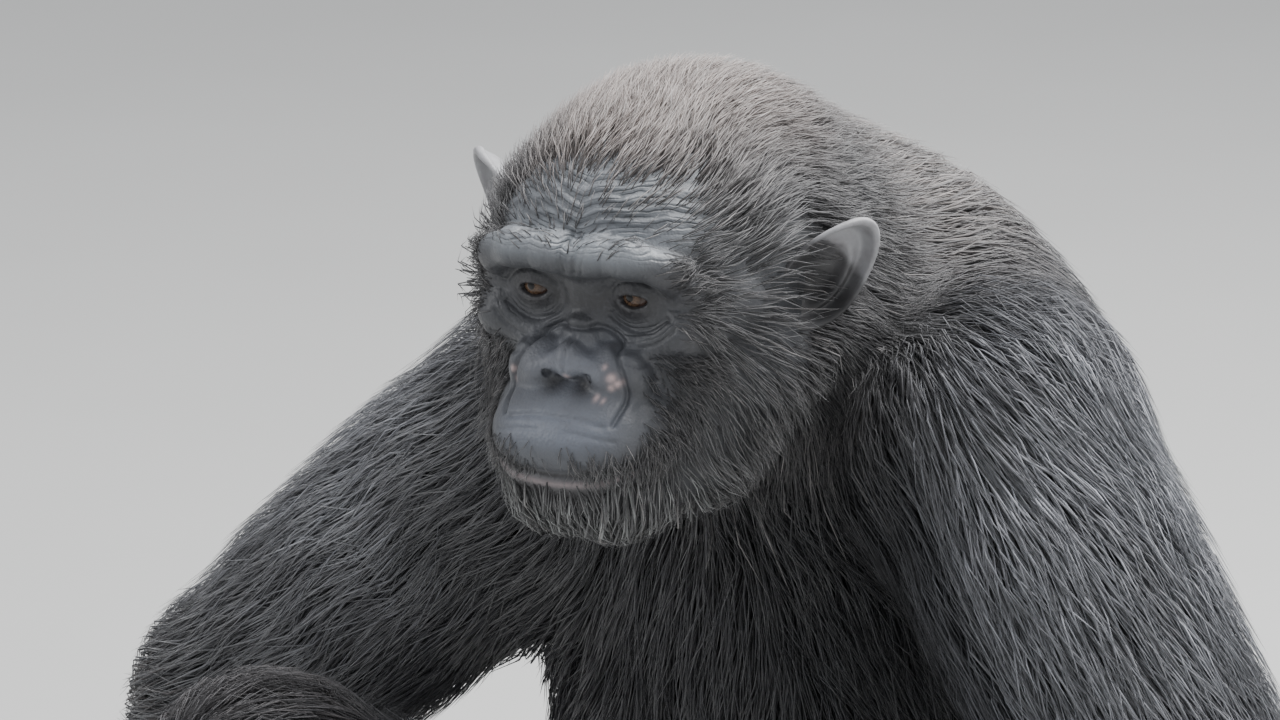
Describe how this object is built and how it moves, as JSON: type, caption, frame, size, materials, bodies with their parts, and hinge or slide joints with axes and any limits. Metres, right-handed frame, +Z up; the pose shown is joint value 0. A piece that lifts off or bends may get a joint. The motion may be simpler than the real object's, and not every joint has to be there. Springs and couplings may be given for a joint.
{
  "type": "seated chimpanzee model",
  "caption": "Life-size still model of an adult chimpanzee seated on the ground, knees drawn up, leaning on both long arms.",
  "frame": {"origin": "centre of the rump's flat on the floor", "axes": "+Z up; the face looks along -Y; +X is the animal's left"},
  "size_m": [0.8531, 0.7097, 0.7007],
  "materials": {
    "coat": "long coarse black hair with a grey-blue sheen, brownish on the crown and back",
    "face_skin": "dark slate-grey wrinkled skin, satin",
    "hand_skin": "blackish creased skin, satin",
    "eye": "wet amber-brown eye with a dark surround"
  },
  "bodies": {
    "root": {"head": "face_skin", "ear_left": "face_skin", "ear_right": "face_skin", "eye_left": "eye", "eye_right": "eye", "neck": "coat", "torso": "coat", "upper_arm_left": "coat", "upper_arm_right": "coat", "forearm_left": "coat", "forearm_right": "coat", "hand_left": "hand_skin", "hand_right": "hand_skin", "thigh_left": "coat", "thigh_right": "coat", "shin_left": "coat", "shin_right": "coat", "foot_left": "hand_skin", "foot_right": "hand_skin"}
  },
  "joints": []
}
